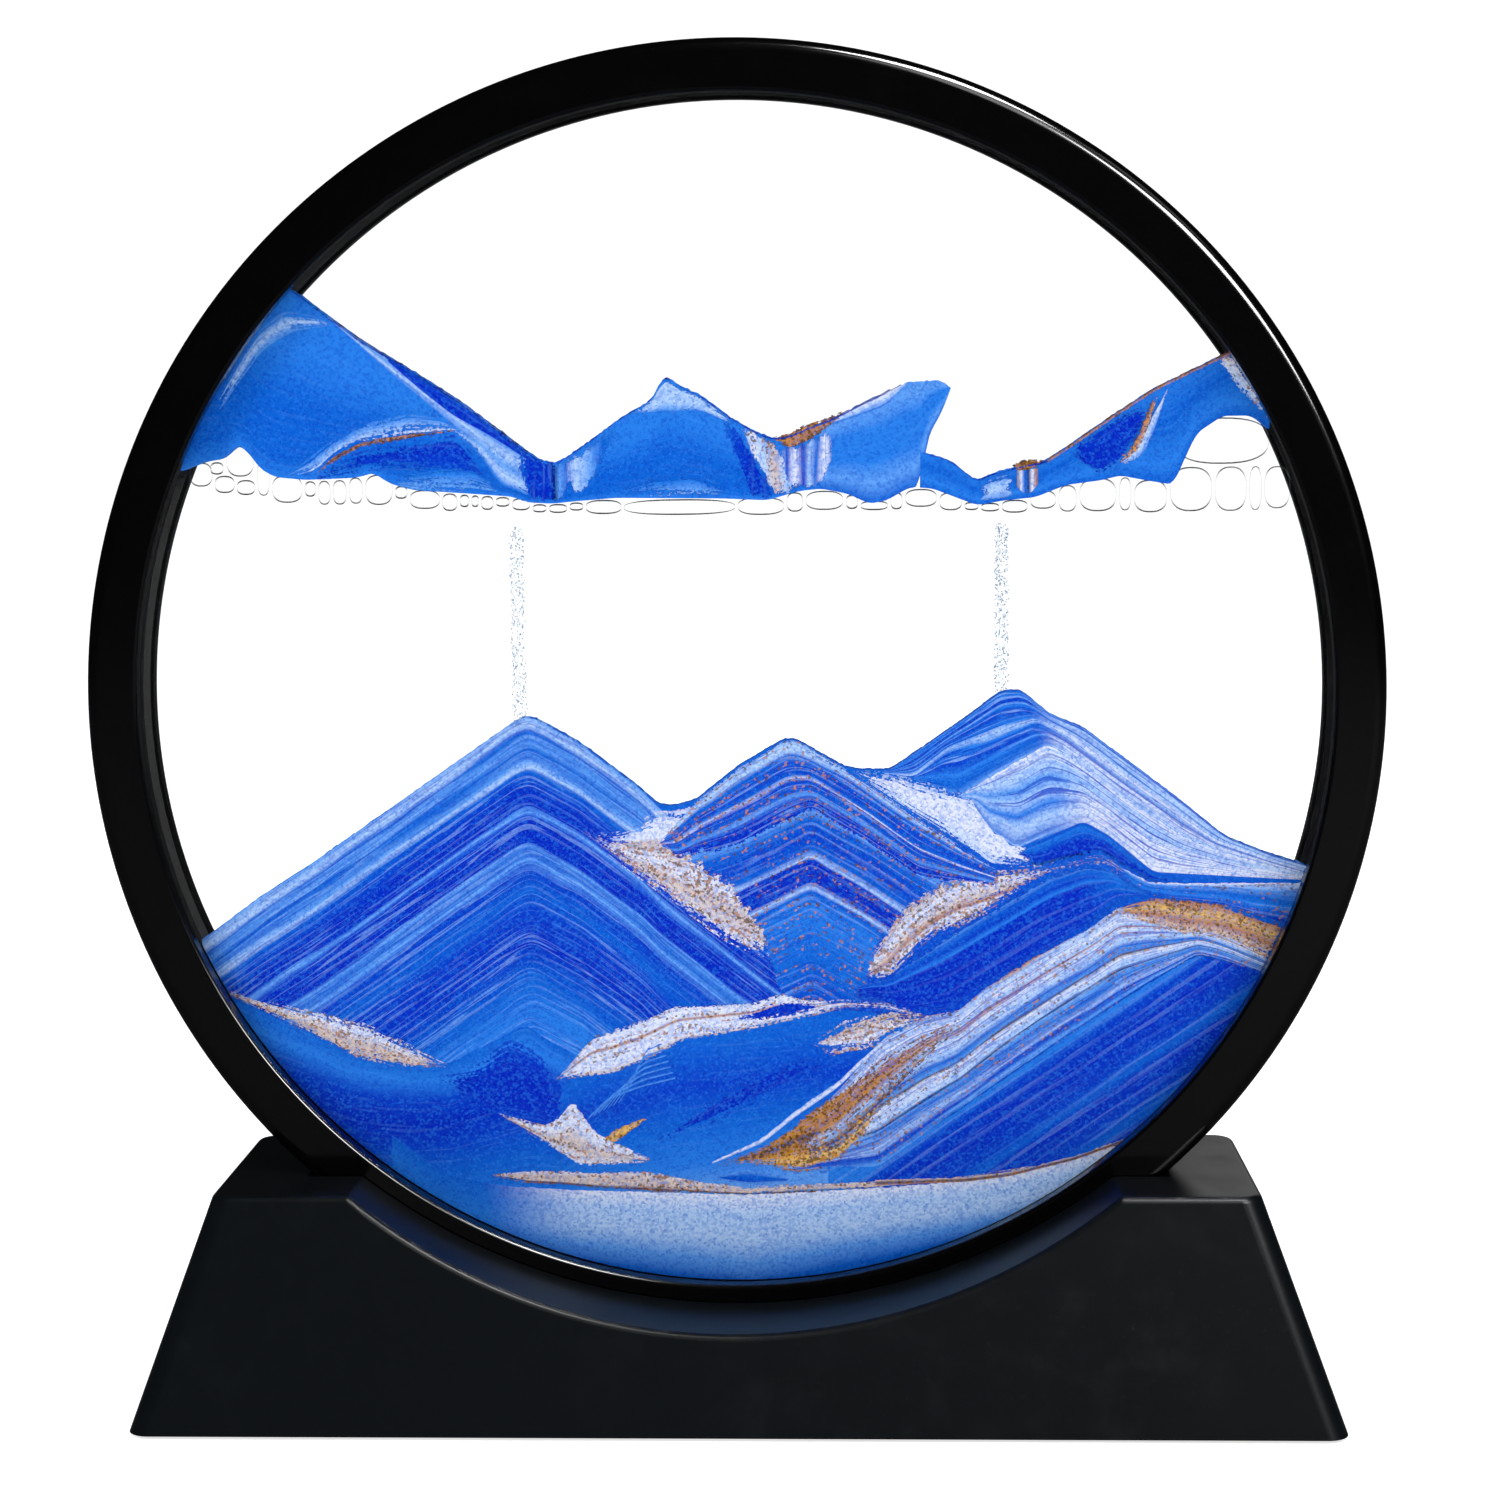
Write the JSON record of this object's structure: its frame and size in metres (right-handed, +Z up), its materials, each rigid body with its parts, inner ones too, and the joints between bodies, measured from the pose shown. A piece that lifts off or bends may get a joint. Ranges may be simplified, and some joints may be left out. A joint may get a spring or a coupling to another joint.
{
  "type": "moving sand hourglass",
  "caption": "Round glass cell of coloured sand, liquid and bubbles in a black ring frame, which turns over in the curved cradle of a black trapezoid base.",
  "frame": {"origin": "on the table under the middle of the base", "axes": "+Z up; the disc faces -Y, the viewer's side; +X is to the viewer's right; the disc's axis is along Y"},
  "size_m": [0.175, 0.046, 0.184],
  "materials": {
    "ring_black": "high gloss moulded ABS",
    "base_black": "satin moulded ABS",
    "clear_glass": "polished clear float glass",
    "plug_rubber": "matt self-sealing silicone",
    "gasket_rubber": "matt",
    "spacer_plastic": "matt",
    "sealant_silicone": "smooth cured silicone",
    "clear_liquid": "clear liquid",
    "blue_sand": "fine dry-looking grains, layered pale to deep blue",
    "deep_blue_sand": "fine grains, deep blue",
    "gold_sand": "metallic gold grains",
    "white_sand": "fine pale lilac-white grains",
    "screw_steel": "zinc plated",
    "pad_rubber": "matt"
  },
  "bodies": {
    "base": {"base_shell": "base_black", "base_cover": "base_black", "cover_screws": "screw_steel", "foot_pads": "pad_rubber"},
    "disc": {"front_frame_ring": "ring_black", "rear_frame_ring": "ring_black", "fill_plug": "plug_rubber", "front_glass_pane": "clear_glass", "rear_glass_pane": "clear_glass", "front_gasket": "gasket_rubber", "rear_gasket": "gasket_rubber", "spacer_ring": "spacer_plastic", "edge_sealant": "sealant_silicone", "liquid_fill": "clear_liquid", "hanging_sand": "blue_sand", "falling_sand": "blue_sand", "dune_sand": "blue_sand", "slope_sand": "deep_blue_sand", "gold_sand": "gold_sand", "white_sand_bed": "white_sand"}
  },
  "joints": [
    {"name": "disc_spin", "type": "hinge", "parent": "base", "child": "disc", "pos_m": [0, 0, 0.0965], "axis": [0, 1, 0], "continuous": true}
  ]
}
